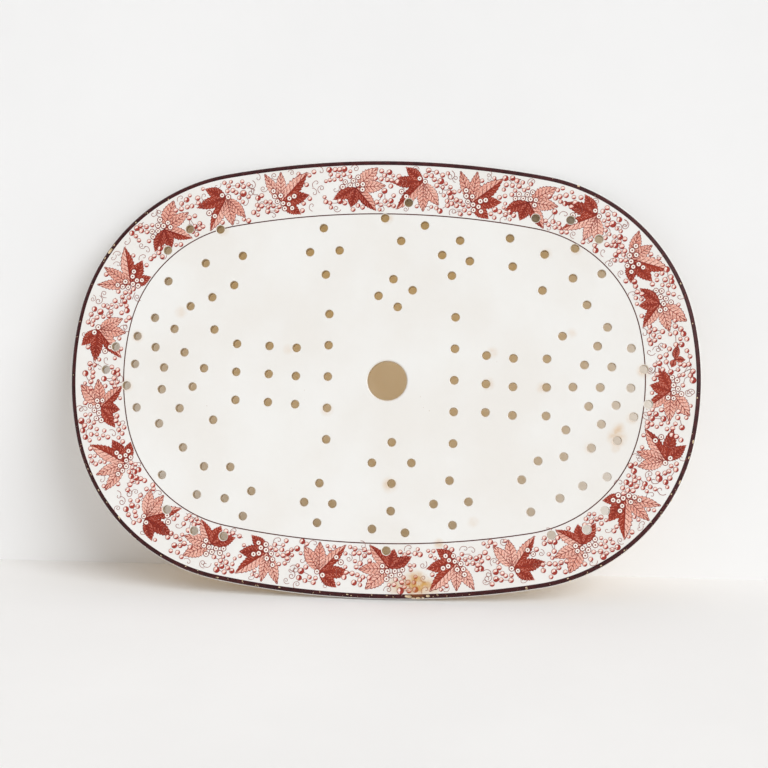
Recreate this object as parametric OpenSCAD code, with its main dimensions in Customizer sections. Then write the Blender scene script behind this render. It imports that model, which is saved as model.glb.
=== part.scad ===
// Oval ceramic drainer: a flat pierced slab that lies in a serving platter and lets juices
// or water run through. One fired and glazed piece, with a finger hole to lift it by.
// It lies on its flat underside, with the printed face up and its long axis along X.
// The origin is on the underside, at the middle of the oval.

/* [Plate] */
// Length over the two ends, along X
plate_length = 402; // [380:1:420]
// Width over the two sides, along Y
plate_width = 279.6; // [264:0.2:294]
// Thickness of the fired slab
thickness = 7; // [6.5:0.5:10]

/* [Outline] */
// Radius of the two long sides
side_r = 569.4; // [500:0.2:660]
// Radius of the two ends
end_r = 183.6; // [166:0.2:196]
// Radius of the four corners
corner_r = 118; // [104:0.2:126]

/* [Edge] */
// Rounding from the printed face down to the edge
upper_edge_r = 3.5; // [2:0.25:3.5]
// Rounding from the edge down to the underside
lower_edge_r = 2.5; // [1:0.25:2.5]

/* [Finger hole] */
// Bore of the finger hole
finger_d = 25; // [20:0.5:30]
// Place of the finger hole, right of the middle of the oval
finger_x = 4; // [-6:0.5:6]
// Place of the finger hole, above the middle of the oval
finger_y = -2; // [-6:0.5:6]
// Rounding of the finger hole's two rims
finger_rim_r = 1; // [0.5:0.25:1.5]

/* [Drain holes] */
// Bore of the drain holes
drain_d = 5.4; // [4:0.1:7]
// Width of the bevel that the glaze leaves round each drain hole, on the printed face
drain_bevel = 0.4; // [0.2:0.1:0.8]

/* [Hole pattern] */
// Middle of each end lattice, in from the end
lattice_from_end = 58; // [50:1:62]
// Middle of each corner ring, in from the end
ring_from_end = 89; // [80:1:94]
// Middle of each corner ring, in from the side
ring_from_side = 62; // [56:1:68]
// Middle of the outer diamonds, in from the side
outer_diamond_from_side = 41; // [34:1:46]
// Middle of the inner diamonds, from the middle of the plate
inner_diamond_y = 54; // [46:1:58]
// Middle of the four shoulder diamonds, in from the side
shoulder_from_side = 61; // [54:1:66]
// Middle of the four shoulder diamonds, along the plate from the finger hole
shoulder_x = 42; // [36:1:48]
// Distance between the holes of the two long columns
long_pitch = 20; // [16:0.5:22]
// Distance between the holes of the six short columns
short_pitch = 18; // [14:0.5:20]
// First column, from the finger hole
first_column = 40; // [34:1:44]
// Distance from one column to the next
column_pitch = 20; // [16:0.5:21]

/* [Hidden] */
glaze = "#f1efea";
half_length = plate_length / 2;
half_width = plate_width / 2;
// Facets round the outline, the finger hole, the drain holes and the small roundings
outline_fn = 360;
finger_fn = 120;
drain_fn = 36;
rounding_fn = 48;
// How far the rim reaches in under its edge, and how far the flat core is set back from it
rim_depth = 32;
core_inset = 8;
// What a cutter runs past the face that it cuts
past = 1;

// The oval is eight arcs that run into each other: two sides, two ends and four corners.
// The corner's centre is as far from each neighbour's centre as their radii differ.
side_c = [0, half_width - side_r];
end_c = [half_length - end_r, 0];
side_gap = side_r - corner_r;
end_gap = end_r - corner_r;
centres_apart = norm(end_c - side_c);
toward_end = (end_c - side_c) / centres_apart;
right_of_that = [toward_end.y, -toward_end.x];
along = (centres_apart ^ 2 + side_gap ^ 2 - end_gap ^ 2) / (2 * centres_apart);
corner_c = side_c + toward_end * along + right_of_that * sqrt(side_gap ^ 2 - along ^ 2);
// An arc hands over to the next on the line through both centres. These points lie on
// those lines, well outside the plate.
beyond_end = end_c + 5 * (corner_c - end_c);
beyond_side = side_c + 1.5 * (corner_c - side_c);
// The same handing-over points, on the flat core
core_end = end_c + (corner_c - end_c) * (end_r - core_inset) / end_gap;
core_side = side_c + (corner_c - side_c) * (side_r - core_inset) / side_gap;

function across(p) = [-p.x, p.y];
function below(p) = [p.x, -p.y];

// Diamonds of four holes: place, reach up and down, reach to the sides, lean anticlockwise
outer_y = half_width - outer_diamond_from_side;
shoulder_y = half_width - shoulder_from_side;
DIAMONDS = [
    [[8, inner_diamond_y], 9, 11, 10],
    [[8, -inner_diamond_y], 13, 12.5, 1],
    [[13, outer_y + 1], 12.5, 13, -10],
    [[7, 2 - outer_y], 12.5, 10.5, -5],
    [[finger_x - shoulder_x, shoulder_y + 1.5], 15, 9.5, 4],
    [[finger_x + shoulder_x, shoulder_y - 2], 11.5, 9, -12],
    [[finger_x - shoulder_x, -shoulder_y - 1.5], 12.5, 9, -2],
    [[finger_x + shoulder_x, 0.5 - shoulder_y], 14, 11, 5],
];

// Columns beside the finger hole: side, number in from the middle, drift along X, height
// of the middle hole, number of holes. The drifts are those of a hand that spaced by eye.
COLUMNS = [
    [-1, 0, 2, 0, 5], [-1, 1, 1.5, 0, 3], [-1, 2, 4, 1, 3], [-1, 3, 3, 2, 3],
    [1, 0, 2.5, -1, 5], [1, 1, 2.5, -3, 3], [1, 2, -0.5, -4.5, 3], [1, 3, 0.5, -4.5, 3],
];

// Slanting rows of the two end lattices, hole by hole as they were pricked by eye.
// Places are from the middle of the lattice, rows running down to the right.
LEFT_ROWS = [
    [[-35, 2], [-21, -8], [-14, -22], [1, -32], [17, -47]],
    [[-29, 17], [-16, 6], [2, -10], [14, -22], [36, -29]],
    [[-15, 24], [-3, 17], [3, 4], [22, -8]],
    [[-4, 36], [9, 29], [16, 14], [29, 4]],
    [[35, 29]],
];
RIGHT_ROWS = [
    [[-14, 48], [-1, 34], [14, 21], [22, 8]],
    [[-29, 28], [-7, 22], [2, 9], [14, -4], [25, -14]],
    [[-15, 10], [-5, -4], [5, -15], [16, -22]],
    [[-22, -4], [-12, -16], [-4, -27], [6, -37]],
    [[-26, -31], [-10, -42]],
];

// Corner rings: the side and end they belong to, the eight holes round the ring, and the
// one or two inside it, from the middle of the ring
RINGS = [
    [[-1, 1], [[-14, 16], [6, 16], [21, -1], [16, -20], [2, -28], [-12, -34], [-27, -18], [-28, 2]],
        [[-3, -6]]],
    [[1, 1], [[-16, 25], [6, 24], [24, 12], [26, -10], [8, -13], [-11, -21], [-30, -6], [-32, 12]],
        [[-10, 2], [9, 6]]],
    [[-1, -1], [[17, 19], [0, 19], [-27, 13], [-23, -9], [-5, -22], [14, -25], [26, -12], [31, 4]],
        [[-4, 1], [14, -1]]],
    [[1, -1], [[-22, 15], [-12, 27], [4, 30], [31, 18], [30, -3], [19, -15], [-3, -19], [-16, -5]],
        [[2, 4], [16, 12]]],
];

// Section of the rim, with the outermost point of the edge at x = 0
module rim_section() {
    translate([-rim_depth, 0]) square([rim_depth - lower_edge_r, thickness - upper_edge_r]);
    translate([-rim_depth, lower_edge_r]) square([rim_depth - upper_edge_r, thickness - lower_edge_r]);
    translate([-rim_depth, lower_edge_r]) square([rim_depth, thickness - upper_edge_r - lower_edge_r]);
    translate([-upper_edge_r, thickness - upper_edge_r]) circle(upper_edge_r, $fn = rounding_fn);
    translate([-lower_edge_r, lower_edge_r]) circle(lower_edge_r, $fn = rounding_fn);
}

// One stretch of the rim: a whole ring, cut off along the lines to its neighbours
module rim_stretch(centre, radius, first, last) {
    intersection() {
        translate([centre.x, centre.y, 0])
            rotate_extrude($fn = outline_fn)
                translate([radius, 0]) rim_section();
        translate([0, 0, -past])
            linear_extrude(thickness + 2 * past) polygon([centre, first, last]);
    }
}

// The rounded rim, all the way round
module rim() {
    for (right = [0, 1]) mirror([right, 0, 0]) {
        rim_stretch(end_c, end_r, below(beyond_end), beyond_end);
        for (top = [0, 1]) mirror([0, top, 0]) rim_stretch(corner_c, corner_r, beyond_end, beyond_side);
    }
    for (top = [0, 1]) mirror([0, top, 0]) rim_stretch(side_c, side_r, beyond_side, across(beyond_side));
}

// The flat slab inside the rim
module core() {
    linear_extrude(thickness)
        polygon([
            core_side, core_end, below(core_end), below(core_side),
            -core_side, -core_end, across(core_end), across(core_side)
        ]);
}

// One drain hole, straight through with a bevelled mouth
module drain_hole(place) {
    translate([place.x, place.y, 0]) {
        translate([0, 0, -past]) cylinder(thickness + 2 * past, d = drain_d, $fn = drain_fn);
        translate([0, 0, thickness - drain_bevel])
            cylinder(drain_bevel + past, drain_d / 2, drain_d / 2 + drain_bevel + past, $fn = drain_fn);
    }
}

// Four holes at the tips of a leaning diamond
module diamond(place, up, aside, lean) {
    for (tip = [[0, up], [-aside, 0], [0, -up], [aside, 0]])
        drain_hole(place + [tip.x * cos(lean) - tip.y * sin(lean), tip.x * sin(lean) + tip.y * cos(lean)]);
}

// A column of evenly spaced holes
module column(side, number, drift, middle, count) {
    pitch = count > 3 ? long_pitch : short_pitch;
    x = finger_x + side * (first_column + number * column_pitch) + drift;
    for (i = [0 : count - 1]) drain_hole([x, middle + pitch * (i - (count - 1) / 2)]);
}

// The bore that a finger lifts the plate by. It leaves a wall with both rims rounded.
module finger_hole() {
    mouth_r = finger_d / 2 + finger_rim_r;
    translate([finger_x, finger_y, 0])
        rotate_extrude($fn = finger_fn)
            difference() {
                translate([0, -past]) square([mouth_r, thickness + 2 * past]);
                translate([finger_d / 2, finger_rim_r])
                    square([2 * finger_rim_r, thickness - 2 * finger_rim_r]);
                for (z = [finger_rim_r, thickness - finger_rim_r])
                    translate([mouth_r, z]) circle(finger_rim_r, $fn = rounding_fn);
            }
}

module drain_holes() {
    for (d = DIAMONDS) diamond(d[0], d[1], d[2], d[3]);
    for (c = COLUMNS) column(c[0], c[1], c[2], c[3], c[4]);
    for (row = LEFT_ROWS, place = row) drain_hole([lattice_from_end - half_length, 0] + place);
    for (row = RIGHT_ROWS, place = row) drain_hole([half_length - lattice_from_end, 0] + place);
    for (ring = RINGS, place = concat(ring[1], ring[2]))
        drain_hole([
            ring[0].x * (half_length - ring_from_end) + place.x,
            ring[0].y * (half_width - ring_from_side) + place.y
        ]);
}

module drainer_plate() {
    color(glaze)
        difference() {
            union() {
                core();
                rim();
            }
            finger_hole();
            drain_holes();
        }
}

drainer_plate();
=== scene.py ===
import math
import random

import bmesh
import bpy
from mathutils import Euler, Matrix, Vector, kdtree


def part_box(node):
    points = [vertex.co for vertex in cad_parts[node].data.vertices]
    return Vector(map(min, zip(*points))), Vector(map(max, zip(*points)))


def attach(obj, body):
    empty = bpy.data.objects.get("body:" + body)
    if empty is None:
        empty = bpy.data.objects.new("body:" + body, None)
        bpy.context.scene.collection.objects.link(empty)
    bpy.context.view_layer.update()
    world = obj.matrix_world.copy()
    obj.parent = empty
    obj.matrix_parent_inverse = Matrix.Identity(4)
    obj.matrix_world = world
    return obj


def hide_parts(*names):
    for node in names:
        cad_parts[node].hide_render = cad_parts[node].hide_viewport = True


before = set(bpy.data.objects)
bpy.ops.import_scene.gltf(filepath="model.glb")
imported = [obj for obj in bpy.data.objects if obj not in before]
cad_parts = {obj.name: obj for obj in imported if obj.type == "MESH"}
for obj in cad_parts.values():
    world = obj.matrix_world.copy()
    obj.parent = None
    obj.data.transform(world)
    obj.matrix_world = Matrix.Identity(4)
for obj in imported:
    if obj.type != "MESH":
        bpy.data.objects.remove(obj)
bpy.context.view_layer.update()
mm = 0.001
scene = bpy.context.scene
scene.view_settings.view_transform = "Standard"

# The slab. Its three outline radii are those of the source; the rest comes from the frame.
slabShape = {
    "sideRadius": 569.4 * mm, "endRadius": 183.6 * mm, "cornerRadius": 118 * mm,
    "upperRounding": 3.5 * mm, "lowerRounding": 2.5 * mm, "printRelief": 0.2 * mm,
    "fingerRadius": 12.5 * mm, "fingerPlace": (4 * mm, -2 * mm), "fingerLip": 1 * mm,
    "drainRadius": 2.7 * mm, "drainLip": 0.4 * mm, "underLip": 0.15 * mm,
    "pathStep": 1.3 * mm, "lipSteps": 4, "roundingSteps": 12, "drainSides": 32, "fingerSides": 120,
}
plateLow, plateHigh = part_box("drainer_plate")
halfLength, halfWidth, plateTop = plateHigh.x, plateHigh.y, plateHigh.z
glazeTop = plateTop - slabShape["printRelief"]


# Eight arcs that run into each other, clockwise from the middle of the upper side
def ovalArcs():
    side, end, corner = slabShape["sideRadius"], slabShape["endRadius"], slabShape["cornerRadius"]
    sideCentre = Vector((0, halfWidth - side))
    endCentre = Vector((halfLength - end, 0))
    apart = endCentre - sideCentre
    sideGap, endGap = side - corner, end - corner
    along = (apart.length_squared + sideGap ** 2 - endGap ** 2) / (2 * apart.length)
    off = math.sqrt(sideGap ** 2 - along ** 2)
    toward = apart.normalized()
    cornerCentre = sideCentre + toward * along + Vector((toward.y, -toward.x)) * off
    sideAngle = math.atan2(cornerCentre.y - sideCentre.y, cornerCentre.x)
    endAngle = math.atan2(cornerCentre.y, cornerCentre.x - endCentre.x)
    found = [(sideCentre, side, math.pi / 2, sideAngle), (cornerCentre, corner, sideAngle, endAngle),
             (endCentre, end, endAngle, 0)]
    for centre, radius, first, last in reversed(list(found)):
        found.append((Vector((centre.x, -centre.y)), radius, -last, -first))
    for centre, radius, first, last in list(found):
        found.append((-centre, radius, first - math.pi, last - math.pi))
    return found


arcs = ovalArcs()
borderInset = 18 * mm
borderLength = sum((r - borderInset) * (a - b) for _, r, a, b in arcs)


# A place on the plate, by its distance clockwise along the border and its inset from the edge
def onOval(along, inset):
    rest = along % borderLength
    for centre, radius, first, last in arcs:
        length = (radius - borderInset) * (first - last)
        if rest <= length:
            break
        rest -= length
    angle = first - rest / (radius - borderInset)
    outward = Vector((math.cos(angle), math.sin(angle)))
    return centre + outward * (radius - inset), angle


# Height of the glaze at an inset from the outermost edge
def shoulderHeight(inset):
    upper = slabShape["upperRounding"]
    share = min(1.0, inset / upper)
    return plateTop - upper + (glazeTop - plateTop + upper) * math.sqrt(1 - (1 - share) ** 2)


# The whole outline as points, at an inset from the edge
def ovalPath(inset, step):
    points = []
    for centre, radius, first, last in arcs:
        count = math.ceil((radius - inset) * (first - last) / step)
        for i in range(count):
            angle = first + (last - first) * i / count
            points.append(centre + Vector((math.cos(angle), math.sin(angle))) * (radius - inset))
    return points


# Small helpers for meshes, trees and materials
def newObject(name, mesh):
    made = bpy.data.objects.new(name, mesh)
    scene.collection.objects.link(made)
    return made


def lineObject(name, points, closed):
    mesh = bpy.data.meshes.new(name)
    count = len(points)
    edges = [(i, (i + 1) % count) for i in range(count if closed else count - 1)]
    mesh.from_pydata([(p[0], p[1], p[2] if len(p) > 2 else 0) for p in points], edges, [])
    return newObject(name, mesh)


def newTree(name, inputs):
    tree = bpy.data.node_groups.new(name, "GeometryNodeTree")
    tree.interface.new_socket("Geometry", in_out="INPUT", socket_type="NodeSocketGeometry")
    for label, kind in inputs.items():
        tree.interface.new_socket(label, in_out="INPUT", socket_type="NodeSocket" + kind)
    tree.interface.new_socket("Geometry", in_out="OUTPUT", socket_type="NodeSocketGeometry")
    return tree, tree.nodes.new("NodeGroupInput").outputs, tree.nodes.new("NodeGroupOutput").inputs


def addNode(tree, kind, links=None, **settings):
    made = tree.nodes.new(kind)
    for key, value in settings.items():
        setattr(made, key, value)
    for socket, source in (links or {}).items():
        if isinstance(source, bpy.types.NodeSocket):
            tree.links.new(source, made.inputs[socket])
        else:
            made.inputs[socket].default_value = source
    return made


def geoNode(tree, kind, links=None, **settings):
    return addNode(tree, "GeometryNode" + kind, links, **settings).outputs[0]


def mathNode(tree, operation, *values):
    links = {i: value for i, value in enumerate(values)}
    return addNode(tree, "ShaderNodeMath", links, operation=operation).outputs[0]


def joinShapes(tree, *shapes):
    join = tree.nodes.new("GeometryNodeJoinGeometry")
    for shape in shapes:
        tree.links.new(shape, join.inputs[0])
    return join.outputs[0]


# Runs a tree on a source object, and leaves its result as a plain mesh
def runTree(name, source, tree, values):
    modifier = source.modifiers.new(tree.name, "NODES")
    modifier.node_group = tree
    for item in tree.interface.items_tree:
        if item.item_type == "SOCKET" and item.in_out == "INPUT" and item.name in values:
            modifier[item.identifier] = values[item.name]
    evaluated = source.evaluated_get(bpy.context.evaluated_depsgraph_get())
    mesh = bpy.data.meshes.new_from_object(evaluated)
    mesh.name = name
    bpy.data.objects.remove(source)
    piece = newObject(name, mesh)
    print(name, len(mesh.polygons), "faces")
    return piece


def finishPiece(piece):
    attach(piece, "root")


# A colour as it is read off a screen, from 0 to 255
def screen(red, green, blue):
    def linear(value):
        value /= 255
        return value / 12.92 if value <= 0.04045 else ((value + 0.055) / 1.055) ** 2.4
    return linear(red), linear(green), linear(blue), 1


def newMaterial(name, roughness):
    material = bpy.data.materials.new(name)
    material.use_nodes = True
    tree = material.node_tree
    shader = tree.nodes["Principled BSDF"]
    shader.inputs["Roughness"].default_value = roughness
    place = addNode(tree, "ShaderNodeTexCoord").outputs["Object"]
    return material, tree, shader, place


def noiseNode(tree, place, scale, detail=2.0):
    links = {"Vector": place, "Scale": scale, "Detail": detail}
    return addNode(tree, "ShaderNodeTexNoise", links).outputs["Fac"]


def mixColour(tree, share, first, second):
    mix = addNode(tree, "ShaderNodeMix", {0: share, 6: first, 7: second}, data_type="RGBA")
    return mix.outputs[2]


def rangeNode(tree, value, low, high, toLow=0.0, toHigh=1.0):
    links = {"Value": value, "From Min": low, "From Max": high, "To Min": toLow, "To Max": toHigh}
    return addNode(tree, "ShaderNodeMapRange", links, interpolation_type="SMOOTHSTEP").outputs[0]


# How strongly a stain shows at a place, fading to nothing at its radius
def stainShare(tree, place, spot, core, strength):
    x, y, radius, _ = spot
    away = addNode(tree, "ShaderNodeVectorMath", {0: place, 1: (x * mm, y * mm, glazeTop)},
                   operation="DISTANCE").outputs["Value"]
    return rangeNode(tree, away, radius * mm, radius * mm * core, 0.0, strength)


# Print under the glaze, uneven as a worn transfer is: scales are noise cells per metre
printFinish = {
    "scale": 900, "roughness": 0.3, "gloss": 0.2, "grainShare": 0.75, "driftScale": 60,
    "driftShare": 0.35, "soakedCore": 0.3, "soakedShare": 0.6,
}


def printMaterial(name, pale, deep, scale, roughness):
    material, tree, shader, place = newMaterial(name, roughness)
    grain = rangeNode(tree, noiseNode(tree, place, scale, 3), 0.35, 0.65)
    drift = noiseNode(tree, place, printFinish["driftScale"])
    drift = rangeNode(tree, drift, 0.3, 0.7, 0.0, printFinish["driftShare"])
    share = mathNode(tree, "MULTIPLY", grain, printFinish["grainShare"])
    share = mathNode(tree, "ADD", share, drift)
    colour = mixColour(tree, share, screen(*pale), screen(*deep))
    shader.inputs["Specular IOR Level"].default_value = printFinish["gloss"]
    soaked = stainShare(tree, place, stainSpots[0], printFinish["soakedCore"], printFinish["soakedShare"])
    colour = mixColour(tree, soaked, colour, screen(*glazeFinish["soaked"]))
    tree.links.new(colour, shader.inputs["Base Color"])
    return material


# Cream glaze, with warm halos and stains where food juices got under it, and painted shade in the drain and
# finger holes: their walls turn tan, more so further down the bore
glazeFinish = {
    "pale": (239, 238, 235), "deep": (235, 232, 227), "bore": (176, 146, 100),
    "stain": (208, 162, 96), "soaked": (188, 116, 56), "speck": (170, 140, 110),
    "roughness": 0.16, "driftScale": 18, "wobbleScale": 260, "stainCore": 0.15, "speckScale": 160,
    "speckPatchScale": 45, "boreShadeFrom": 0.4 * mm, "boreShadeTo": 1.4 * mm, "boreShadeShares": (0.13, 0.8),
    "rippleScale": 90, "rippleStrength": 0.12, "rippleDepth": 0.6 * mm,
}
# Places from the middle of the plate in mm, radius in mm, strength
stainSpots = [
    (25, -129.5, 11, 1.3), (13, -131, 8, 0.8), (35, -131, 7, 0.8), (149, -35, 8, 0.6), (150, -29, 5, 0.35),
    (148, -42, 4, 0.3), (165, 7, 6, 0.5), (-164, -8, 5.5, 0.42), (7, -68, 6.5, 0.5), (-34, -21, 5.5, 0.42),
    (102, -5, 5, 0.34), (68, -3, 5.5, 0.34), (2, 102, 5, 0.34), (122, 83, 5, 0.3), (-158, 24, 5.5, 0.36),
    (158, -23, 5, 0.34), (132, -42, 5, 0.3), (103, 80, 5, 0.26), (39, -104, 4.5, 0.5), (-104, 93, 5, 0.3),
    (70, 17, 5, 0.3), (-60, 17, 4.5, 0.22), (120, 30, 4.5, 0.22), (-130, 40, 5.5, 0.26), (60, -90, 5, 0.2),
]


def glazeMaterial():
    material, tree, shader, place = newMaterial("creamGlaze", glazeFinish["roughness"])
    drift = rangeNode(tree, noiseNode(tree, place, glazeFinish["driftScale"], 4), 0.3, 0.7)
    colour = mixColour(tree, drift, screen(*glazeFinish["pale"]), screen(*glazeFinish["deep"]))
    wobble = rangeNode(tree, noiseNode(tree, place, glazeFinish["wobbleScale"], 4), 0.25, 0.7, 0.35, 1.0)
    total = 0.0
    for spot in stainSpots:
        total = mathNode(tree, "ADD", total, stainShare(tree, place, spot, glazeFinish["stainCore"], spot[3]))
    share = mathNode(tree, "MULTIPLY", total, wobble)
    colour = mixColour(tree, share, colour, screen(*glazeFinish["stain"]))
    cells = addNode(tree, "ShaderNodeTexVoronoi", {"Vector": place, "Scale": glazeFinish["speckScale"]})
    speck = rangeNode(tree, cells.outputs["Distance"], 0.05, 0.02)
    rare = rangeNode(tree, noiseNode(tree, place, glazeFinish["speckPatchScale"]), 0.6, 0.68)
    colour = mixColour(tree, mathNode(tree, "MULTIPLY", speck, rare), colour, screen(*glazeFinish["speck"]))
    # Painted shade in the holes: the hole walls mix towards tan, little at the lip and strongly below it
    bore = addNode(tree, "ShaderNodeAttribute", attribute_name="bore").outputs["Fac"]
    height = addNode(tree, "ShaderNodeSeparateXYZ", {0: place}).outputs["Z"]
    lip, floor = glazeTop - glazeFinish["boreShadeFrom"], glazeTop - glazeFinish["boreShadeTo"]
    deep = rangeNode(tree, height, lip, floor, *glazeFinish["boreShadeShares"])
    colour = mixColour(tree, mathNode(tree, "MULTIPLY", bore, deep), colour, screen(*glazeFinish["bore"]))
    tree.links.new(colour, shader.inputs["Base Color"])
    bump = addNode(tree, "ShaderNodeBump", {
        "Height": noiseNode(tree, place, glazeFinish["rippleScale"], 3),
        "Strength": glazeFinish["rippleStrength"], "Distance": glazeFinish["rippleDepth"]})
    tree.links.new(bump.outputs["Normal"], shader.inputs["Normal"])
    return material


# Bare clay, where the glaze has chipped off
clayFinish = {"pale": (238, 222, 192), "deep": (214, 186, 142), "roughness": 0.75, "grainScale": 1400}


def clayMaterial():
    material, tree, shader, place = newMaterial("bareClay", clayFinish["roughness"])
    grain = noiseNode(tree, place, clayFinish["grainScale"], 4)
    colour = mixColour(tree, grain, screen(*clayFinish["pale"]), screen(*clayFinish["deep"]))
    tree.links.new(colour, shader.inputs["Base Color"])
    return material


# Middles of the drain holes, read off the rings that their mouths leave on the frame's mesh.
# Tolerances are in mm: below the top, between neighbours on a ring, and in a ring's width.
holeSearch = {"depth": 0.01 * mm, "neighbours": 0.8 * mm, "width": 0.3 * mm}


def drainPlaces():
    mouth = slabShape["drainRadius"] + slabShape["drainLip"]
    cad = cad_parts["drainer_plate"].data
    mesh = bmesh.new()
    mesh.from_mesh(cad)
    top = [v for v in mesh.verts if v.co.z > plateTop - holeSearch["depth"]]
    spots = sorted({(round(v.co.x, 6), round(v.co.y, 6)) for v in top})
    mesh.free()
    tree = kdtree.KDTree(len(spots))
    for i, (x, y) in enumerate(spots):
        tree.insert((x, y, 0), i)
    tree.balance()
    seen, places = set(), []
    for i in range(len(spots)):
        if i in seen:
            continue
        group, queue = [], [i]
        seen.add(i)
        while queue:
            here = queue.pop()
            group.append(spots[here])
            for _, other, _ in tree.find_range((*spots[here], 0), holeSearch["neighbours"]):
                if other not in seen:
                    seen.add(other)
                    queue.append(other)
        xs, ys = [p[0] for p in group], [p[1] for p in group]
        spans = (max(xs) - min(xs), max(ys) - min(ys))
        if all(abs(span - 2 * mouth) < holeSearch["width"] for span in spans):
            places.append(((max(xs) + min(xs)) / 2, (max(ys) + min(ys)) / 2))
    return places


drains = drainPlaces()
print("drain holes", len(drains))


# The section of the rim, from the underside out and up to the printed face
def rimSection():
    upper, lower, steps = slabShape["upperRounding"], slabShape["lowerRounding"], slabShape["roundingSteps"]
    rise = glazeTop - (plateTop - upper)
    section = []
    for i in range(steps + 1):
        turn = math.pi / 2 * i / steps
        section.append((lower * (1 - math.sin(turn)), -lower * (1 - math.cos(turn))))
    for i in range(steps + 1):
        turn = math.pi / 2 * i / steps
        section.append((upper * (1 - math.cos(turn)), -(plateTop - upper) - rise * math.sin(turn)))
    return section


# The wall of a hole, from its mouth down to the underside
def boreSection(lip, underLip):
    steps = slabShape["lipSteps"]
    section = []
    for i in range(steps + 1):
        turn = math.pi / 2 * i / steps
        section.append((-lip * (1 - math.sin(turn)), -(glazeTop - lip * (1 - math.cos(turn)))))
    for i in range(steps + 1):
        turn = math.pi / 2 * i / steps
        section.append((-underLip * (1 - math.cos(turn)), -(underLip * (1 - math.sin(turn)))))
    return section


def sweepNode(tree, path, section):
    upright = geoNode(tree, "SetCurveNormal", {"Curve": path}, mode="Z_UP")
    profile = geoNode(tree, "MeshToCurve", {0: geoInfo(tree, section)})
    return geoNode(tree, "CurveToMesh", {"Curve": upright, "Profile Curve": profile})


def geoInfo(tree, objectSocket):
    info = addNode(tree, "GeometryNodeObjectInfo", {"Object": objectSocket})
    return info.outputs["Geometry"]


def cutNode(tree, shape, cutter):
    cut = addNode(tree, "GeometryNodeMeshBoolean", operation="DIFFERENCE", solver="MANIFOLD")
    tree.links.new(shape, cut.inputs["Mesh 1"])
    tree.links.new(cutter, cut.inputs["Mesh 2"])
    return cut.outputs[0]


# Cuts a shape on the glaze wherever a drain hole is
def cutDrains(tree, shape, given):
    height = mathNode(tree, "MULTIPLY", given["Top"], 2.0)
    post = geoNode(tree, "MeshCylinder", {
        "Vertices": slabShape["drainSides"], "Radius": given["Cut radius"], "Depth": height})
    places = geoInfo(tree, given["Drain places"])
    posts = geoNode(tree, "InstanceOnPoints", {"Points": places, "Instance": post})
    lift = addNode(tree, "ShaderNodeCombineXYZ", {"Z": given["Top"]}).outputs[0]
    posts = geoNode(tree, "RealizeInstances", {0: posts})
    return cutNode(tree, shape, geoNode(tree, "Transform", {"Geometry": posts, "Translation": lift}))


def slabTree():
    tree, given, result = newTree("pierced slab", {
        "Rim section": "Object", "Drain places": "Object", "Drain section": "Object", "Drain radius": "Float",
        "Finger section": "Object", "Finger radius": "Float", "Finger place": "Vector", "Top": "Float",
        "Chips": "Object", "Glaze": "Material",
    })
    outline = geoNode(tree, "MeshToCurve", {0: given["Geometry"]})
    rim = sweepNode(tree, outline, given["Rim section"])

    def tube(sides, radius, section):
        circle = geoNode(tree, "CurvePrimitiveCircle", {"Resolution": sides, "Radius": radius})
        wall = sweepNode(tree, geoNode(tree, "ReverseCurve", {0: circle}), section)
        return geoNode(tree, "StoreNamedAttribute", {"Geometry": wall, "Name": "bore", "Value": 1.0},
                       data_type="FLOAT", domain="FACE")

    drain = tube(slabShape["drainSides"], given["Drain radius"], given["Drain section"])
    places = geoInfo(tree, given["Drain places"])
    spread = geoNode(tree, "InstanceOnPoints", {"Points": places, "Instance": drain})
    finger = tube(slabShape["fingerSides"], given["Finger radius"], given["Finger section"])
    finger = geoNode(tree, "Transform", {"Geometry": finger, "Translation": given["Finger place"]})
    walls = joinShapes(tree, rim, geoNode(tree, "RealizeInstances", {0: spread}), finger)
    walls = geoNode(tree, "SetShadeSmooth", {"Geometry": walls, "Shade Smooth": True})
    edgeFaces = geoNode(tree, "InputMeshEdgeNeighbors")
    isOpen = mathNode(tree, "COMPARE", edgeFaces, 1.0, 0.1)
    apart = addNode(tree, "ShaderNodeSeparateXYZ", {0: geoNode(tree, "InputPosition")})
    isTop = mathNode(tree, "GREATER_THAN", apart.outputs["Z"], mathNode(tree, "MULTIPLY", given["Top"], 0.5))

    def flatFace(chosen, height, turnOver):
        loops = geoNode(tree, "MeshToCurve", {0: walls, 1: mathNode(tree, "MULTIPLY", isOpen, chosen)})
        face = geoNode(tree, "FillCurve", {0: loops}, mode="TRIANGLES")
        places = {0: apart.outputs["X"], 1: apart.outputs["Y"], 2: height}
        level = addNode(tree, "ShaderNodeCombineXYZ", places)
        face = geoNode(tree, "SetPosition", {"Geometry": face, "Position": level.outputs[0]})
        if turnOver:
            face = geoNode(tree, "FlipFaces", {0: face})
        return geoNode(tree, "SetShadeSmooth", {"Geometry": face, "Shade Smooth": False})

    upper = flatFace(isTop, given["Top"], False)
    under = flatFace(mathNode(tree, "SUBTRACT", 1.0, isTop), 0.0, True)
    whole = joinShapes(tree, walls, upper, under)
    whole = geoNode(tree, "MergeByDistance", {"Geometry": whole, "Distance": 0.002 * mm})
    whole = geoNode(tree, "SetMaterial", {"Geometry": whole, "Material": given["Glaze"]})
    chipped = cutNode(tree, whole, geoInfo(tree, given["Chips"]))
    tree.links.new(geoNode(tree, "RealizeInstances", {0: chipped}), result[0])
    return tree


# Chips along the edge: distance along the border, inset and size, in mm
bigChips = [
    (834, 1.8, 1.7), (838, 1.4, 1.1), (829, 1.5, 0.9), (487, 2.0, 1.5), (475, 2.0, 1.4), (481, 0.9, 1.3),
    (484, 1.0, 1.0), (478, 1.0, 1.1), (287, 1.2, 0.9), (296, 1.3, 0.8), (310, 1.2, 1.0), (118, 1.0, 1.0),
]
smallChips = {"count": 120, "seed": 7, "least": 0.25, "most": 0.65,
              "stretches": [(290, 480), (490, 720), (700, 880), (100, 290)], "weights": [30, 34, 16, 10]}


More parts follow.
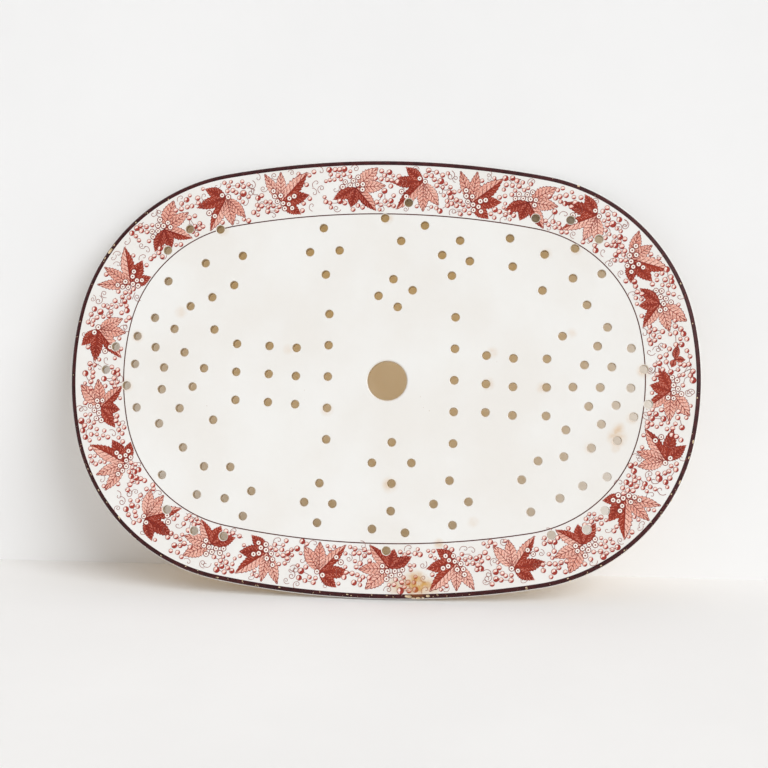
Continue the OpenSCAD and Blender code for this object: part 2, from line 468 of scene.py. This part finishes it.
def chipCutters(clay):
    chance = random.Random(smallChips["seed"])
    chips = list(bigChips)
    for first, last in chance.choices(smallChips["stretches"], smallChips["weights"], k=smallChips["count"]):
        size = chance.uniform(smallChips["least"], smallChips["most"])
        chips.append((chance.uniform(first, last), chance.uniform(0.2, 3.1), size))
    mesh = bmesh.new()
    for along, inset, size in chips:
        place, angle = onOval(along * mm, inset * mm)
        height = shoulderHeight(inset * mm)
        stretch = Matrix.Diagonal((size * mm * chance.uniform(0.8, 1.8), size * mm, size * mm * 0.7, 1))
        turn = Euler((chance.uniform(-0.4, 0.4), 0, angle + math.pi / 2)).to_matrix().to_4x4()
        spot = Matrix.Translation((place.x, place.y, height)) @ turn @ stretch
        lump = bmesh.ops.create_icosphere(mesh, subdivisions=1, radius=1, matrix=spot)
        for vert in lump["verts"]:
            vert.co += Vector([chance.uniform(-0.15, 0.15) * size * mm for _ in range(3)])
    made = bpy.data.meshes.new("chips")
    mesh.to_mesh(made)
    mesh.free()
    made.materials.append(clay)
    return newObject("chips", made)


print("slab")
glaze = glazeMaterial()
clay = clayMaterial()
chips = chipCutters(clay)
drainMarks = lineObject("drainPlaces", drains, False)
helpers = [chips, drainMarks]
rimLine = lineObject("rimSection", rimSection(), False)
drainLine = lineObject("drainSection", boreSection(slabShape["drainLip"], slabShape["underLip"]), False)
fingerLine = lineObject("fingerSection", boreSection(slabShape["fingerLip"], slabShape["fingerLip"]), False)
helpers += [rimLine, drainLine, fingerLine]
outline = lineObject("outline", ovalPath(0, slabShape["pathStep"]), True)
slab = runTree("glazed_slab", outline, slabTree(), {
    "Rim section": rimLine, "Drain places": drainMarks, "Drain section": drainLine,
    "Drain radius": slabShape["drainRadius"], "Finger section": fingerLine,
    "Finger radius": slabShape["fingerRadius"], "Finger place": (*slabShape["fingerPlace"], 0),
    "Top": glazeTop, "Chips": chips, "Glaze": glaze,
})
finishPiece(slab)
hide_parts("drainer_plate")


# The print lies on the glaze as thin shapes. Places are mm from a motif's heart, first
# clockwise along the border, then outward; motifs are kind, place along and inset in mm.
vineBorder = {
    "motifs": [
        ("C", 24, 13.5), ("A", 56, 24.7), ("B", 92, 19.0), ("C", 135, 12.9), ("A", 169, 20.2),
        ("B", 203, 18.4), ("bit", 239, 16.5), ("B", 259, 19.2), ("C", 302, 14.2), ("A", 335, 24.5),
        ("B", 376, 18.2),
        ("C", 421, 15.1), ("A", 456, 21.8), ("B", 499, 19.5), ("C", 543, 15.1), ("A", 577, 23.4),
        ("B", 614, 21.1), ("C", 660, 15.1), ("A", 697, 25.9), ("B", 738, 19.3), ("C", 788, 14.7),
        ("A", 823, 25.5), ("B", 866, 17.8), ("C", 911, 15.5), ("A", 946, 23.7), ("B", 995, 17.8),
    ],
    # Tip of each lobe, its half width, and the tone of its left and right half
    "lobes": {
        "A": [(-9, 20, 3.4, "LL"), (1.4, 20.3, 3.4, "LL"), (18.3, 16.9, 4.6, "LD"), (18.6, 2.8, 4.6, "DD"),
              (12.4, -9, 4, "DD")],
        "B": [(14, 12.5, 4.7, "LL"), (18.3, 1, 3.9, "LL"), (12.5, -14.5, 3.8, "LD"), (-3.5, -12.5, 4.2, "DD"),
              (-14.5, -7.5, 4, "DD")],
        "C": [(-11.5, 9, 3.8, "DD"), (-20, -1, 4.3, "DD"), (-16.5, -18, 4, "LD"), (1, -18.3, 3.8, "LL"),
              (10.5, -14.5, 3.8, "LL")],
        "bit": [(-8.3, 3, 2.5, "DD"), (0.8, 6.6, 2.4, "DD"), (4.8, -2.2, 2.2, "DD")],
    },
    # White berries at the heart
    "white": {
        "A": [(-4.3, 7.6), (-3.8, 4.1), (0, 4.1), (5.5, 1.7), (8.8, 2.8), (-2.4, 0.7), (1.2, -1), (4.8, -2),
              (1.9, -4.5), (6.8, -4.8)],
        "B": [(-6.9, 3.8), (-8.6, 0.7), (-3.8, 1.6), (-1.7, 4.4), (0.9, 1.9), (1.4, 6.6), (4.3, 2),
              (4.1, -1.4)],
        "C": [(-2.4, 1.9), (1.2, 0), (-13.4, -7), (-10.3, -10)],
        "bit": [],
    },
    # Bunches of red berries, and their size
    "red": {
        "A": [[(-1.7, -2.8, 1.3), (-5.2, -2.1, 1.3), (-9, -2.4, 1.4), (-12.8, -1.4, 1.5), (-15.2, -3.1, 1.3),
               (-18.3, -4.8, 1.5)],
              [(-6.9, 0.7, 1.3), (-10, 1, 1.4), (-13.1, 2.1, 1.4), (-15.9, 0, 1.2), (-14.8, 4.8, 1.5),
               (-12.2, 5.4, 1.3)],
              [(-3.8, -5.2, 1.3), (-9, -5.2, 1.5)]],
        "B": [[(-4.1, 7.2, 1.2), (-8, 8.8, 1.4), (-9.9, 11.9, 1.4), (-7.2, 14.5, 1.8), (-12.4, 14.8, 1.5)],
              [(-9.7, 5.5, 1.2), (-11.7, 8.5, 1.4), (-13.4, 11.7, 1.4), (-16.6, 13, 1.6)],
              [(-15.9, 8.8, 1.3), (-16.6, 5.5, 1.1)],
              [(12.4, 5.9, 1.3), (16.2, 5.5, 1.4), (17.9, 7.9, 1.4), (21.4, 9.3, 1.6)],
              [(19.7, 4.8, 1.3), (22.8, 4.1, 1.4), (26.9, 3.8, 1.3), (27.6, 6.9, 1.4)],
              [(-7.6, -10, 1.3), (-10.3, -8.5, 1.5), (-12.8, -10, 1.3), (-17.2, -9.3, 1.3), (-20, -8.3, 1.5)],
              [(13.1, -10, 1.3), (15.5, -7.9, 1.4), (18.1, -2.8, 1.5), (19, -9.3, 1.4), (22.8, -9, 1.4)],
              [(16, -11.5, 1.3), (21.7, -12, 1.3), (24.5, -11.7, 1.3)]],
        "C": [[(1.7, 4.1, 1.3), (2.8, 7.2, 1.4), (8.3, 6.6, 1.4), (11.7, 5.2, 1.5)],
              [(5.2, 3.8, 1.3), (6.9, 2, 1.3), (11, 0.7, 1.8), (8.6, -1.7, 1.3)],
              [(9.5, -16.5, 1.2), (12.4, -18.6, 1.5)]],
        "bit": [[(3.2, 3.4, 1.3), (6.4, 1.8, 1.3), (7.6, -2.4, 1.4), (1.2, -5.2, 1.4), (-3.4, -4.6, 1.3),
                 (-6.8, -2.6, 1.3)],
                [(-4.4, 7.8, 1.3), (-0.6, 9.4, 1.3), (3.6, 8.2, 1.4), (9.6, 5.2, 1.3)],
                [(-2.4, -9, 1.3), (2.2, -9.8, 1.5), (6.2, -7.6, 1.3)]],
    },
    # Curls: place, size and turn
    "curls": {
        "A": [(-19, 8.6, 2.6, 0.4), (-6, -8.4, 2.2, 3.5), (8.4, 19.4, 1.8, 1.2)],
        "B": [(0, 13.2, 2.3, 0.9), (31.4, 3.1, 2.5, 5.4), (16.9, -14.5, 2.2, 2.6), (-13.2, -13, 2.2, 4.2)],
        "C": [(16.9, 4.5, 2.6, 5.7), (4.4, -17.4, 2.2, 3.8), (11.4, -5.9, 2.3, 2.2), (-4.4, 8.4, 2, 0.6)],
        "bit": [(-9.5, -7, 2.2, 3.1), (8.8, 9.6, 2.1, 0.2)],
    },
    "looseBerries": 250, "looseCurls": 70, "lobeDrawings": 3, "teeth": 9, "sideVeins": 7, "curlDrawings": 2,
    # Least insets of berries and of lobe tips, the border's width, how deep a print reaches
    # into the glaze, and how far apart in height neighbours lie, all in mm
    "berryMargin": 5.6, "tipMargin": 4.7, "width": 38.6, "sunk": 0.08, "step": 0.003, "seed": 21,
    # Height of each layer above the glaze in mm, and width of each drawn stroke
    "lifts": {"lobe": 0.02, "nextLobe": 0.016, "edge": -0.008, "side": 0.115, "twig": 0.112, "middle": 0.125,
              "stem": 0.13, "red": 0.126, "white": 0.142, "shade": 0.146, "glint": 0.166, "dot": 0.18,
              "whiteRing": 0.182, "redRing": 0.184},
    "strokes": {"side": 0.42 * mm, "twig": 0.24 * mm, "middle": 0.5 * mm, "stem": 0.3 * mm},
    # Radius from which a red berry has the deeper shade
    "largeBerry": 1.75 * mm,
}
printColours = {
    "leafLight": ((248, 210, 194), (220, 142, 122)), "leafDark": ((168, 66, 46), (122, 36, 27)),
    "vein": ((148, 56, 48), (120, 40, 36)), "fleck": ((226, 142, 122), (190, 94, 80)),
    "berryWhite": ((248, 242, 234), (244, 232, 222)), "berryRed": ((247, 218, 208), (236, 184, 170)),
    "shade": ((176, 72, 60), (146, 48, 42)), "ring": ((150, 66, 58), (122, 48, 44)),
    "tendril": ((164, 100, 88), (140, 74, 66)), "band": ((74, 30, 31), (50, 20, 23)),
    "thinLine": ((98, 54, 46), (74, 38, 34)),
}


# A closed flat shape one unit thick, with its printed side at height zero
def stampObject(name, outer, inner=None):
    mesh = bmesh.new()
    count = len(outer)
    tops = [mesh.verts.new((x, y, 0)) for x, y in outer]
    feet = [mesh.verts.new((x, y, -1)) for x, y in outer]
    for i in range(count):
        mesh.faces.new((tops[i - 1], feet[i - 1], feet[i], tops[i]))
    if inner:
        innerTops = [mesh.verts.new((x, y, 0)) for x, y in inner]
        innerFeet = [mesh.verts.new((x, y, -1)) for x, y in inner]
        for i in range(count):
            mesh.faces.new((innerTops[i], innerFeet[i], innerFeet[i - 1], innerTops[i - 1]))
            mesh.faces.new((tops[i - 1], tops[i], innerTops[i], innerTops[i - 1]))
            mesh.faces.new((feet[i], feet[i - 1], innerFeet[i - 1], innerFeet[i]))
    else:
        mesh.faces.new(tops)
        mesh.faces.new(list(reversed(feet)))
    made = bpy.data.meshes.new(name)
    mesh.to_mesh(made)
    mesh.free()
    return bpy.data.objects.new(name, made)


def circlePoints(radius, sides, x=0.0, y=0.0):
    turns = [2 * math.pi * i / sides for i in range(sides)]
    return [(x + radius * math.cos(a), y + radius * math.sin(a)) for a in turns]


# Half width of a lobe at a share of its length, without its teeth
def lobeWidth(share):
    return math.sin(math.pi * (0.03 + 0.97 * share) ** 1.04)


def lobeHalf(chance, side):
    edge = []
    teeth = vineBorder["teeth"] + chance.randint(0, 1)
    for i in range(teeth):
        start, end = 0.06 + 0.9 * i / teeth, 0.06 + 0.9 * (i + 1) / teeth
        edge.append((start, side * lobeWidth(start) * chance.uniform(0.88, 0.94)))
        peak = start + (end - start) * 0.85
        edge.append((peak, side * (lobeWidth(peak) * chance.uniform(1.0, 1.07) + 0.05)))
    points = [(0, 0)] + edge + [(1, 0)]
    if side > 0:
        points.reverse()
    return points


def curlRibbon(turns, tail, width):
    middle = []
    steps = 26
    for i in range(steps + 1):
        share = i / steps
        angle = turns * 2 * math.pi * share
        radius = 0.28 + 0.6 * share + tail * max(0.0, share - 0.75)
        middle.append(Vector((radius * math.cos(angle), radius * math.sin(angle))))
    left, right = [], []
    for i, point in enumerate(middle):
        ahead = (middle[min(i + 1, steps)] - middle[max(i - 1, 0)]).normalized()
        off = Vector((-ahead.y, ahead.x)) * width / 2
        left.append(tuple(point + off))
        right.append(tuple(point - off))
    return right + list(reversed(left))


# One tree lays any set of stamps on marked points, and cuts them where a hole is
def printTree():
    tree, given, result = newTree("printed shapes", {
        "Stamps": "Collection", "Drain places": "Object", "Cut radius": "Float", "Top": "Float",
        "Paint": "Material"})

    def read(name, kind):
        return addNode(tree, "GeometryNodeInputNamedAttribute", {"Name": name}, data_type=kind).outputs[0]

    stamps = geoNode(tree, "CollectionInfo", {"Collection": given["Stamps"], "Separate Children": True,
                                              "Reset Children": True})
    turn = addNode(tree, "ShaderNodeCombineXYZ", {"Z": read("turn", "FLOAT")}).outputs[0]
    turn = addNode(tree, "FunctionNodeEulerToRotation", {0: turn}).outputs[0]
    laid = geoNode(tree, "InstanceOnPoints", {
        "Points": given["Geometry"], "Instance": stamps, "Pick Instance": True,
        "Instance Index": read("kind", "INT"), "Rotation": turn, "Scale": read("size", "FLOAT_VECTOR")})
    cut = cutDrains(tree, geoNode(tree, "RealizeInstances", {0: laid}), given)
    painted = geoNode(tree, "SetMaterial", {"Geometry": cut, "Material": given["Paint"]})
    painted = geoNode(tree, "SetShadeSmooth", {"Geometry": painted, "Shade Smooth": False})
    tree.links.new(painted, result[0])
    return tree


printedShapes = printTree()


# Each mark: x, y, turn, length, width, lift above the glaze in mm, number of its stamp
def printPiece(name, stamps, marks, paint):
    holder = bpy.data.collections.new(name + "Stamps")
    for stamp in stamps:
        holder.objects.link(stamp)
    mesh = bpy.data.meshes.new(name)
    mesh.from_pydata([(x, y, glazeTop + lift * mm) for x, y, _, _, _, lift, _ in marks], [], [])
    depths = [(length, width, (lift + vineBorder["sunk"]) * mm) for _, _, _, length, width, lift, _ in marks]
    for label, kind, key, values in (
            ("turn", "FLOAT", "value", [mark[2] for mark in marks]),
            ("kind", "INT", "value", [mark[6] for mark in marks]),
            ("size", "FLOAT_VECTOR", "vector", [value for size in depths for value in size])):
        mesh.attributes.new(label, kind, "POINT").data.foreach_set(key, values)
    piece = runTree(name, newObject(name, mesh), printedShapes, {
        "Stamps": holder, "Drain places": drainMarks, "Top": glazeTop, "Paint": paint,
        "Cut radius": slabShape["drainRadius"] + slabShape["drainLip"]})
    for stamp in stamps:
        bpy.data.objects.remove(stamp)
    bpy.data.collections.remove(holder)
    finishPiece(piece)


# A place near a motif's heart, kept between the edge line and the thin line
def motifSpot(motif, u, v, margin=vineBorder["berryMargin"]):
    _, along, inset = motif
    inset = max(margin, min(vineBorder["width"] - margin, inset - v))
    return onOval((along + u) * mm, inset * mm)[0]


# Both halves of one lobe, with the veins of a light half and the flecks of a dark one
def drawLobe(made, chance, heart, tip, width, lift, tones):
    reach = tip - heart
    turn, length = math.atan2(reach.y, reach.x), reach.length
    ahead, aside = reach.normalized(), Vector((-reach.y, reach.x)).normalized()
    lifts, strokes = vineBorder["lifts"], vineBorder["strokes"]
    for side in (0, 1):
        drawing = 2 * chance.randrange(vineBorder["lobeDrawings"]) + side
        light = tones[side] == "L"
        made["light" if light else "dark"].append((heart.x, heart.y, turn, length, width, lift, drawing))
        if light:
            made["edges"].append((heart.x, heart.y, turn, length * 1.03, width * 1.09, lift + lifts["edge"],
                                  drawing))
        signed = 1 - 2 * side
        for i in range(vineBorder["sideVeins"]):
            share = 0.1 + 0.76 * i / (vineBorder["sideVeins"] - 1)
            out = width * lobeWidth(min(0.97, share + 0.1)) * 0.94
            root = heart + ahead * length * share
            end = heart + ahead * length * (share + 0.13) + aside * signed * out
            if not light:
                root = root + (end - root) * chance.uniform(0.15, 0.45)
                end = root + (end - root) * chance.uniform(0.6, 1)
            run = end - root
            veinTurn = math.atan2(run.y, run.x)
            if light:
                middle = (root + end) / 2
                made["veins"].append((root.x, root.y, veinTurn, run.length, strokes["side"], lifts["side"], 0))
                made["veins"].append((middle.x, middle.y, turn + signed * 0.25, length * 0.09,
                                      strokes["twig"], lifts["twig"], 0))
            else:
                wide = chance.uniform(0.3, 0.5) * mm
                made["flecks"].append((root.x, root.y, veinTurn, run.length, wide, lifts["side"], 0))
                off = (root + end) / 2 + ahead * length * 0.05
                made["flecks"].append((off.x, off.y, veinTurn, run.length * 0.5, wide * 0.8,
                                       lifts["twig"], 0))
    made["veins"].append((heart.x, heart.y, turn, length * 0.97, strokes["middle"], lifts["middle"], 0))


# A red berry, left out where it would lie on another; neighbours differ a little in height
def drawBerry(made, chance, spot, size):
    for mark in made["white"] + made["red"]:
        if (spot - Vector(mark[:2])).length < 0.8 * (size + mark[3]):
            return
    turn = chance.uniform(3.4, 4.6)
    lifts, step = vineBorder["lifts"], vineBorder["step"] * (len(made["red"]) % 5)
    shade = 1 if size > vineBorder["largeBerry"] else 0
    made["red"].append((spot.x, spot.y, turn, size, size, lifts["red"] + step, 0))
    made["shades"].append((spot.x, spot.y, turn, size, size, lifts["shade"] + step, shade))
    made["glints"].append((spot.x, spot.y, turn, size, size, lifts["glint"] + step, 0))
    made["rings"].append((spot.x, spot.y, turn, size, size, lifts["redRing"] + step, 1))


# Loose berries and curls that fill the ground between the drawn ones: sizes and insets in
# mm, gaps to what is there, and how much each try takes off the number still wanted
looseShape = {"berry": (1.2, 1.6), "curl": (1.9, 2.3), "insets": (5.8, 32.6), "leastGap": 0.1 * mm,
              "mostGap": 0.8 * mm, "patience": 0.004}


def fillGround(made, chance):
    taken = [(Vector(mark[:2]), mark[3]) for mark in made["white"] + made["red"]]
    for x, y, turn, length, width, _, _ in made["light"] + made["dark"]:
        for i in range(9):
            share = 0.08 + 0.11 * i
            spot = Vector((x + length * share * math.cos(turn), y + length * share * math.sin(turn)))
            taken.append((spot, width * lobeWidth(share) * 0.9))
    for kind, wanted in (("berry", vineBorder["looseBerries"]), ("curl", vineBorder["looseCurls"])):
        found = 0
        while found < wanted:
            size = chance.uniform(*looseShape[kind]) * mm
            spot = onOval(chance.uniform(0, 1) * borderLength, chance.uniform(*looseShape["insets"]) * mm)[0]
            gap = min((spot - other).length - radius for other, radius in taken) - size
            wanted -= looseShape["patience"]
            if gap < looseShape["leastGap"] or (kind == "berry" and gap > looseShape["mostGap"]):
                continue
            found += 1
            taken.append((spot, size))
            if kind == "berry":
                drawBerry(made, chance, spot, size)
            else:
                turn, drawing = chance.uniform(0, 6.28), chance.randrange(vineBorder["curlDrawings"])
                made["stems"].append((spot.x, spot.y, turn, size, size, vineBorder["lifts"]["stem"], drawing))


# Every mark of the border, by the piece that it goes to
def drawBorder():
    chance = random.Random(vineBorder["seed"])
    lifts, layer = vineBorder["lifts"], vineBorder["step"]
    made = {key: [] for key in ("light", "dark", "edges", "veins", "flecks", "white", "red", "shades",
                                "glints", "rings", "dots", "stems")}
    for number, motif in enumerate(vineBorder["motifs"]):
        heart = motifSpot(motif, 0, 0)
        for order, (u, v, wide, tones) in enumerate(vineBorder["lobes"][motif[0]]):
            tip = motifSpot(motif, u * chance.uniform(0.96, 1.04), v * chance.uniform(0.96, 1.04),
                            vineBorder["tipMargin"])
            width = wide * mm * chance.uniform(0.9, 1.0)
            lift = lifts["lobe"] + lifts["nextLobe"] * order + layer * (number % 2)
            drawLobe(made, chance, heart, tip, width, lift, tones)
        for u, v in vineBorder["white"][motif[0]]:
            spot = motifSpot(motif, u, v)
            size = chance.uniform(1.6, 1.85) * mm
            turn = chance.uniform(0, 6.28)
            step = layer * (len(made["white"]) % 5)
            made["white"].append((spot.x, spot.y, turn, size, size, lifts["white"] + step, 0))
            made["rings"].append((spot.x, spot.y, turn, size, size, lifts["whiteRing"] + step, 0))
            made["dots"].append((spot.x, spot.y, turn, size * 0.32, size * 0.28, lifts["dot"], 0))
        for bunch in vineBorder["red"][motif[0]]:
            last = None
            for u, v, size in bunch:
                spot = motifSpot(motif, u + chance.uniform(-0.4, 0.4), v + chance.uniform(-0.4, 0.4))
                size *= mm * chance.uniform(1.08, 1.28)
                drawBerry(made, chance, spot, size)
                if last is not None:
                    run = spot - last
                    made["stems"].append((
                        last.x, last.y, math.atan2(run.y, run.x), run.length,
                        vineBorder["strokes"]["stem"], lifts["stem"], vineBorder["curlDrawings"]))
                last = spot
        for u, v, size, turn in vineBorder["curls"][motif[0]]:
            spot = motifSpot(motif, u, v)
            made["stems"].append((
                spot.x, spot.y, turn + chance.uniform(-0.5, 0.5), size * mm, size * mm,
                lifts["stem"], chance.randrange(vineBorder["curlDrawings"])))
    fillGround(made, chance)
    return made


def stampSet(name, *drawings):
    return [stampObject(name + str(i), *drawing) for i, drawing in enumerate(drawings)]


def printPaint(key, scale=printFinish["scale"], roughness=printFinish["roughness"]):
    return printMaterial(key, *printColours[key], scale, roughness)


print("border print")
marks = drawBorder()
chance = random.Random(vineBorder["seed"])
halves = [(lobeHalf(chance, 1 - 2 * (i % 2)),) for i in range(2 * vineBorder["lobeDrawings"])]
# Stamps are one unit long or in radius: an outer outline, and an inner one for a ring
stroke = ([(0, -0.5), (1, -0.18), (1, 0.18), (0, 0.5)],)
disc = (circlePoints(1, 16),)
crescents = [(circlePoints(0.9, 16)[:8] + [(-0.2, 0.35), (0.25, 0.3)],),
             (circlePoints(0.9, 14)[:9] + [(0, -0.1)],)]
glint = (circlePoints(0.3, 8, -0.15, -0.3),)
rings = [(circlePoints(1.04, 16), circlePoints(0.8, 16)), (circlePoints(1.0, 14), circlePoints(0.87, 14))]
stem = ([(0, -0.5), (1, -0.5), (1, 0.5), (0, 0.5)],)
curls = [(curlRibbon(1.35, 2.2, 0.13),), (curlRibbon(0.95, 3.2, 0.13),), stem]
veinPaint = printPaint("vein")
ringPaint = printPaint("ring")
printPiece("leaves_light", stampSet("half", *halves), marks["light"], printPaint("leafLight", 1300))
printPiece("leaves_dark", stampSet("half", *halves), marks["dark"], printPaint("leafDark", 1300))
printPiece("leaf_edges", stampSet("half", *halves), marks["edges"], veinPaint)
printPiece("veins_on_light", stampSet("stroke", stroke), marks["veins"], veinPaint)
printPiece("flecks_on_dark", stampSet("stroke", stroke), marks["flecks"], printPaint("fleck"))
printPiece("berries_white", stampSet("disc", disc), marks["white"], printPaint("berryWhite"))
printPiece("berries_red", stampSet("disc", disc), marks["red"], printPaint("berryRed"))
printPiece("berry_shades", stampSet("shade", *crescents), marks["shades"], printPaint("shade"))
printPiece("berry_glints", stampSet("glint", glint), marks["glints"], printPaint("berryWhite"))
printPiece("berry_outlines", stampSet("ring", *rings), marks["rings"], ringPaint)
printPiece("berry_dots", stampSet("dot", (circlePoints(1, 8),)), marks["dots"], ringPaint)
printPiece("tendrils", stampSet("curl", *curls), marks["stems"], printPaint("tendril"))

# The brown line that a brush ran round the shoulder, and the thin line inside the border
lineShape = {"outer": 0.65 * mm, "inner": 3.4 * mm, "proud": 0.05 * mm, "sunk": 0.12 * mm, "step": 0.5 * mm,
             "points": 7, "thinInset": 35 * mm, "thinWidth": 0.7 * mm, "thinProud": 0.04 * mm}


def bandSection():
    outer, inner, points = lineShape["outer"], lineShape["inner"], lineShape["points"]
    over, under = [], []
    for i in range(points):
        inset = outer + (inner - outer) * i / (points - 1)
        slope = math.atan2(shoulderHeight(inset + 0.01 * mm) - shoulderHeight(inset - 0.01 * mm), 0.02 * mm)
        across, upward = -math.sin(slope), math.cos(slope)
        for side, reach in ((over, lineShape["proud"]), (under, -lineShape["sunk"])):
            side.append((inset + across * reach, -(shoulderHeight(inset) + upward * reach)))
    return under[:1] + over + list(reversed(under[1:]))


def thinSection():
    half, top = lineShape["thinWidth"] / 2, glazeTop + lineShape["thinProud"]
    foot = glazeTop - lineShape["sunk"]
    return [(-half, -foot), (-half, -top), (half, -top), (half, -foot)]


# Sweeps a closed section round a path, and cuts it where a hole or a chip is
def lineTree():
    tree, given, result = newTree("printed line", {
        "Section": "Object", "Cutters": "Object", "Drain places": "Object", "Cut radius": "Float",
        "Top": "Float", "Paint": "Material"})
    swept = sweepNode(tree, geoNode(tree, "MeshToCurve", {0: given["Geometry"]}), given["Section"])
    cut = cutNode(tree, cutDrains(tree, swept, given), geoInfo(tree, given["Cutters"]))
    painted = geoNode(tree, "SetMaterial", {"Geometry": cut, "Material": given["Paint"]})
    tree.links.new(geoNode(tree, "SetShadeSmooth", {"Geometry": painted, "Shade Smooth": False}), result[0])
    return tree


def drawLine(name, inset, section, paint):
    profile = lineObject(name + "Section", section, True)
    helpers.append(profile)
    path = lineObject(name + "Path", ovalPath(inset, lineShape["step"]), True)
    piece = runTree(name, path, lineShape["tree"], {
        "Section": profile, "Cutters": chips, "Drain places": drainMarks, "Top": glazeTop, "Paint": paint,
        "Cut radius": slabShape["drainRadius"] + slabShape["drainLip"]})
    finishPiece(piece)


print("lines")
lineShape["tree"] = lineTree()
drawLine("edge_line", 0, bandSection(), printPaint("band", 300, 0.5))
drawLine("inner_line", lineShape["thinInset"], thinSection(), printPaint("thinLine", 700))


# Stage: the pale wall that the drainer leans on, and the pale floor that it stands on
stageShape = {"lean": math.radians(13.4), "reach": 2.5, "gap": 0.15 * mm}
lean = stageShape["lean"]
wallOut = Vector((0, -math.sin(lean), math.cos(lean)))
wallUp = Vector((0, math.cos(lean), math.sin(lean)))
lower = slabShape["lowerRounding"]
wallOffset = Vector((0, halfWidth - lower, lower)).dot(wallOut) - lower - stageShape["gap"]
floorOffset = Vector((0, lower - halfWidth, lower)).dot(wallUp) - lower - stageShape["gap"]
stageCorner = wallOut * wallOffset + wallUp * floorOffset


def stageMaterial(name, colour, shade):
    material, tree, shader, place = newMaterial(name, 0.9)
    share = rangeNode(tree, noiseNode(tree, place, 7, 4), 0.35, 0.65)
    tree.links.new(mixColour(tree, share, screen(*colour), screen(*shade)), shader.inputs["Base Color"])
    shader.inputs["Specular IOR Level"].default_value = 0.1
    back = addNode(tree, "ShaderNodeNewGeometry").outputs["Backfacing"]
    clear = addNode(tree, "ShaderNodeBsdfTransparent").outputs[0]
    mix = addNode(tree, "ShaderNodeMixShader", {0: back, 1: shader.outputs[0], 2: clear})
    tree.links.new(mix.outputs[0], tree.nodes["Material Output"].inputs["Surface"])
    return material


def stagePlane(name, along, material):
    reach = stageShape["reach"]
    side = Vector((reach, 0, 0))
    corners = [stageCorner - side, stageCorner + side, stageCorner + side + along * reach,
               stageCorner - side + along * reach]
    if along is wallOut:
        corners.reverse()
    mesh = bpy.data.meshes.new(name)
    mesh.from_pydata(corners, [], [(0, 1, 2, 3)])
    mesh.materials.append(material)
    plane = newObject(name, mesh)


print("stage")
stagePlane("stageWall", wallUp, stageMaterial("paleWall", (243, 243, 243), (241, 241, 241)))
stagePlane("stageFloor", wallOut, stageMaterial("paleFloor", (246, 245, 244), (244, 243, 242)))

# Light: a sun with a wide, soft disc from above on the right, as from a window, and a pale
# room. The sun comes from so far right, up and out from the wall.
lightSetup = {
    "keyFrom": (1.3, 1.05, 1.2), "keySpread": math.radians(42), "keyStrength": 1.95,
    "keyColour": (0.955, 0.98, 1.0), "room": (1.0, 0.972, 0.945), "roomStrength": 0.53,
    "seenRoom": (0.93, 0.93, 0.93),
    # Warm light that the cream underside throws on the wall behind the plate
    "bounceColour": (1.0, 0.62, 0.22), "bounces": [
        ("ELLIPSE", (356 * mm, 234 * mm), 0.044), ("RECTANGLE", (300 * mm, 206 * mm), 0.042)],
    "bouncePlace": (0, -6 * mm, -2.5 * mm),
}


def addLamps():
    key = bpy.data.lights.new("keyLamp", "SUN")
    key.energy = lightSetup["keyStrength"]
    key.color = lightSetup["keyColour"]
    key.angle = lightSetup["keySpread"]
    right, up, out = lightSetup["keyFrom"]
    toward = Vector((right, 0, 0)) + wallUp * up + wallOut * out
    newObject("keyLamp", key).rotation_euler = toward.to_track_quat("Z", "Y").to_euler()
    for shape, size, watts in lightSetup["bounces"]:
        bounce = bpy.data.lights.new("bounceLamp", "AREA")
        bounce.shape = shape
        bounce.size, bounce.size_y = size
        bounce.energy = watts
        bounce.color = lightSetup["bounceColour"]
        made = newObject("bounceLamp", bounce)
        made.location = lightSetup["bouncePlace"]
        made.visible_camera = False


print("light")
addLamps()
world = bpy.data.worlds.new("paleRoom")
scene.world = world
world.use_nodes = True
room = world.node_tree
room.nodes["Background"].inputs["Color"].default_value = (*lightSetup["room"], 1)
room.nodes["Background"].inputs["Strength"].default_value = lightSetup["roomStrength"]
seen = addNode(room, "ShaderNodeBackground", {"Color": (*lightSetup["seenRoom"], 1), "Strength": 1.0})
ray = addNode(room, "ShaderNodeLightPath")
mixRoom = addNode(room, "ShaderNodeMixShader", {
    0: ray.outputs["Is Camera Ray"], 1: room.nodes["Background"].outputs[0], 2: seen.outputs[0]})
room.links.new(mixRoom.outputs[0], room.nodes["World Output"].inputs["Surface"])

# Camera: over the plate, a little to its right, tilted as the photograph shows it
cameraSetup = {"place": (86.99 * mm, -73.61 * mm, 992.56 * mm), "tilt": (4.131, 4.826, 1.353),
               "pixelsPerUnit": 1565, "frame": 768, "sensor": 36}
print("camera")
lens = bpy.data.cameras.new("photoCamera")
lens.sensor_width = cameraSetup["sensor"]
lens.lens = cameraSetup["sensor"] * cameraSetup["pixelsPerUnit"] / cameraSetup["frame"]
camera = newObject("photoCamera", lens)
camera.location = cameraSetup["place"]
camera.rotation_euler = [math.radians(angle) for angle in cameraSetup["tilt"]]
scene.camera = camera

for helper in helpers:
    bpy.data.objects.remove(helper)
